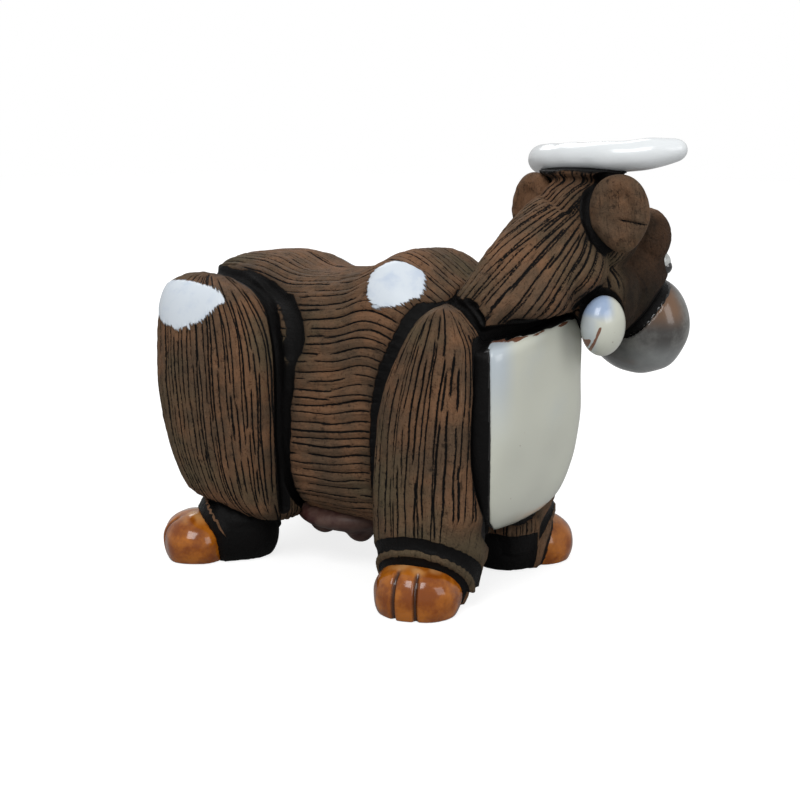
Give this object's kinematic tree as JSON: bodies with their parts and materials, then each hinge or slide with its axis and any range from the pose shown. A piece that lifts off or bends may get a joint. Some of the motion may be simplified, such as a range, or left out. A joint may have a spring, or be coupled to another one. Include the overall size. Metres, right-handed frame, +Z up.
{
  "type": "terracotta cow figurine",
  "caption": "Standing cow figurine of carved fired clay with its head turned aside, glazed horns, chest shield, muzzle and hooves.",
  "frame": {"origin": "middle of the footprint box, on the surface that the cow stands on", "axes": "+X the way the body faces, +Y the cow's left side, +Z up"},
  "size_m": [0.1292, 0.0892, 0.1083],
  "materials": {
    "carved_terracotta": "matte carved clay, glazed in places"
  },
  "bodies": {
    "root": {"cow_figurine": "carved_terracotta"}
  },
  "joints": []
}
